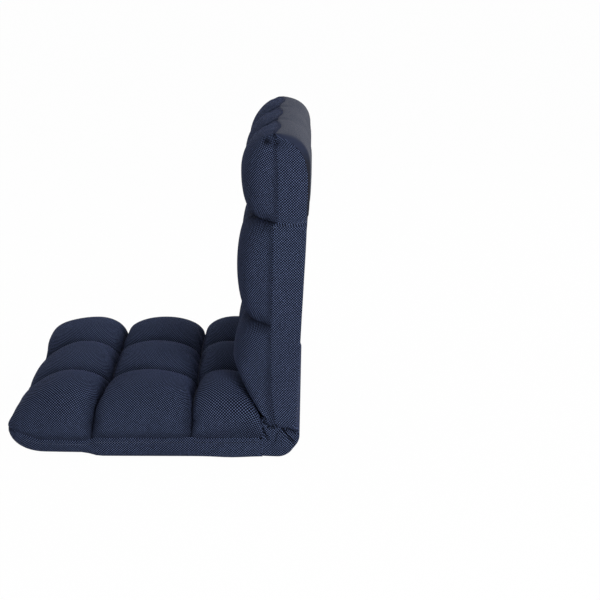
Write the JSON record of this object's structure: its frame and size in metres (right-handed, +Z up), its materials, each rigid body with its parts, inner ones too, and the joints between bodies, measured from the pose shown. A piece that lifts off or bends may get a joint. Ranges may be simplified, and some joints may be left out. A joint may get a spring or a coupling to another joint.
{
  "type": "folding floor chair",
  "caption": "Legless quilted floor chair with a reclining back that lies flat, on steel frames with ratchet hinges.",
  "frame": {"origin": "on the floor, under the middle of the box round the chair with its back upright", "axes": "+Z up, -Y the way the sitter faces, +X the sitter's left"},
  "size_m": [0.52, 0.5636, 0.6],
  "materials": {
    "mesh_cloth": "matte",
    "panel_cloth": "matte",
    "foam": "matte",
    "webbing": "matte",
    "painted_steel": "satin",
    "plated_steel": "satin",
    "spring_steel": "satin"
  },
  "bodies": {
    "seat": {"seat_top_cover": "mesh_cloth", "seat_foam": "foam", "seat_base_cover": "mesh_cloth", "seat_frame": "painted_steel", "seat_crossbar_rear": "painted_steel", "seat_crossbar_front": "painted_steel", "seat_webbing_1": "webbing", "seat_webbing_2": "webbing", "seat_webbing_3": "webbing", "hinge_sleeve": "mesh_cloth", "seat_rivet_left_1": "plated_steel", "seat_rivet_left_2": "plated_steel", "ratchet_plate_left": "plated_steel", "pivot_pin_left": "plated_steel", "seat_rivet_right_1": "plated_steel", "seat_rivet_right_2": "plated_steel", "ratchet_plate_right": "plated_steel", "pivot_pin_right": "plated_steel"},
    "backrest": {"back_front_cover": "mesh_cloth", "back_foam": "foam", "back_rear_cover": "panel_cloth", "back_frame": "painted_steel", "back_crossbar_lower": "painted_steel", "back_crossbar_upper": "painted_steel", "back_webbing_1": "webbing", "back_webbing_2": "webbing", "back_webbing_3": "webbing", "back_webbing_4": "webbing", "back_rivet_left_1": "plated_steel", "back_rivet_left_2": "plated_steel", "hinge_cheek_left_inner": "plated_steel", "hinge_cheek_left_outer": "plated_steel", "pawl_pin_left": "plated_steel", "spring_post_left": "plated_steel", "pawl_spring_left": "spring_steel", "back_rivet_right_1": "plated_steel", "back_rivet_right_2": "plated_steel", "hinge_cheek_right_inner": "plated_steel", "hinge_cheek_right_outer": "plated_steel", "pawl_pin_right": "plated_steel", "spring_post_right": "plated_steel", "pawl_spring_right": "spring_steel"},
    "pawl_left": {"pawl_left": "plated_steel"},
    "pawl_right": {"pawl_right": "plated_steel"}
  },
  "joints": [
    {"name": "recline", "type": "hinge", "parent": "seat", "child": "backrest", "pos_m": [0, 0.2232, 0.032], "axis": [1, 0, 0], "range_deg": [-87, 8], "deforming": ["hinge_sleeve"]},
    {"name": "pawl_left_swing", "type": "hinge", "parent": "backrest", "child": "pawl_left", "pos_m": [0.205, 0.24125, 0.06109], "axis": [1, 0, 0], "range_deg": [-16, 0], "deforming": ["pawl_spring_left"]},
    {"name": "pawl_right_swing", "type": "hinge", "parent": "backrest", "child": "pawl_right", "pos_m": [-0.205, 0.24125, 0.06109], "axis": [1, 0, 0], "range_deg": [-16, 0], "deforming": ["pawl_spring_right"]}
  ]
}
